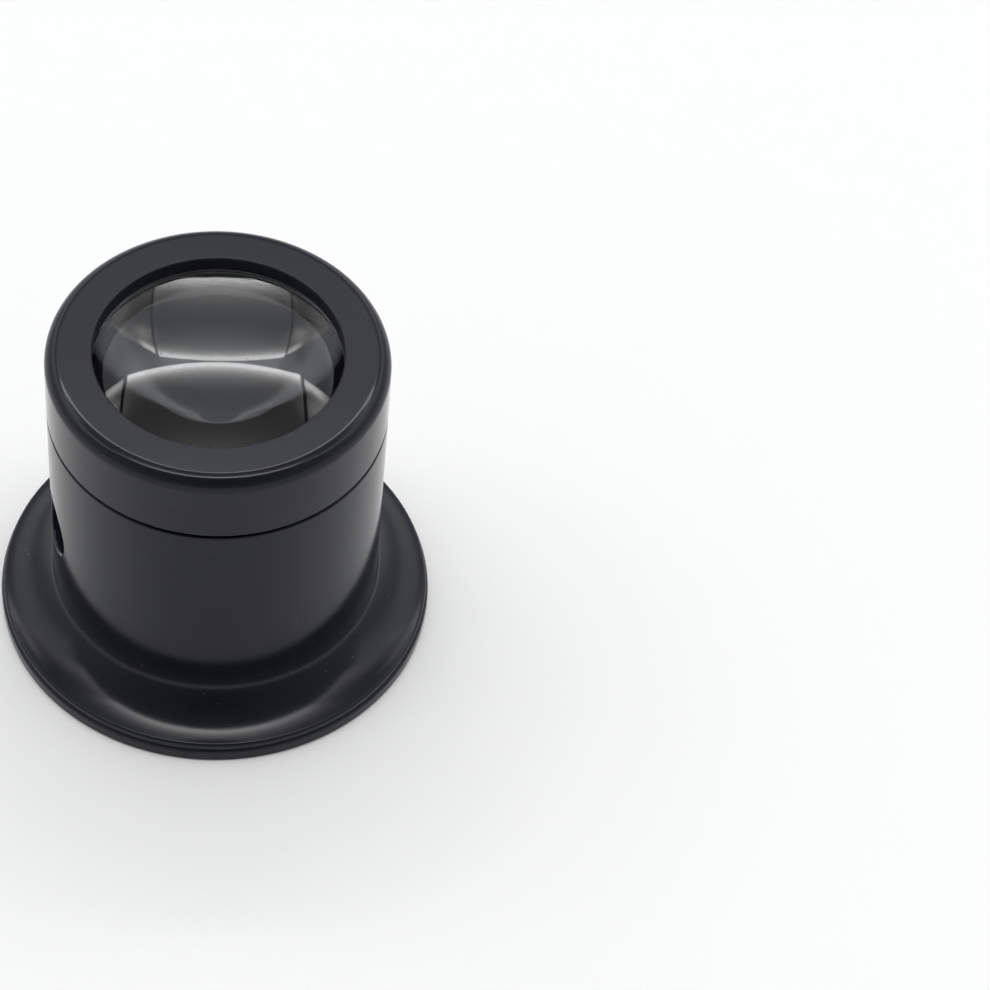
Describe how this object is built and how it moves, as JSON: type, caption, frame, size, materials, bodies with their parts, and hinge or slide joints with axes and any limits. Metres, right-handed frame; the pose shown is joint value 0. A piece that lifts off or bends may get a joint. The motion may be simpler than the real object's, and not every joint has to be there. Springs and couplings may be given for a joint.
{
  "type": "watchmaker eye loupe",
  "caption": "Flared eye cup and vented black barrel with a screw-on head that holds a biconvex magnifying lens behind a round front lip.",
  "frame": {"origin": "centre of the flat underside of the eye cup's rim, on the optical axis", "axes": "+Z along the optical axis from the eye towards the work; the two vent holes lie on -X and +X"},
  "size_m": [0.0452, 0.0452, 0.0377],
  "materials": {
    "cup_black": "smooth moulded black plastic with a soft gloss",
    "barrel_black": "satin black plastic with a fine turned grain",
    "head_black": "satin black plastic with a fine turned grain",
    "lens_glass": "polished clear",
    "washer_rubber": "matt black rubber",
    "ring_black": "dull black against stray light"
  },
  "bodies": {
    "loupe_body": {"eye_cup": "cup_black", "barrel": "barrel_black"},
    "optic": {"lens": "lens_glass", "lens_washer": "washer_rubber"},
    "head": {"lens_head": "head_black", "retaining_ring": "ring_black"}
  },
  "joints": [
    {"name": "head_rise", "type": "slide", "parent": "loupe_body", "child": "optic", "axis": [0, 0, 1], "range_m": [0, 0.003]},
    {"name": "head_turn", "type": "hinge", "parent": "optic", "child": "head", "pos_m": [0, 0, 0.0298], "axis": [0, 0, 1], "range_deg": [0, 1440]}
  ],
  "couplings": [
    {"joint": "head_rise", "follows": "head_turn", "m_per_rad": 0.00011937}
  ]
}
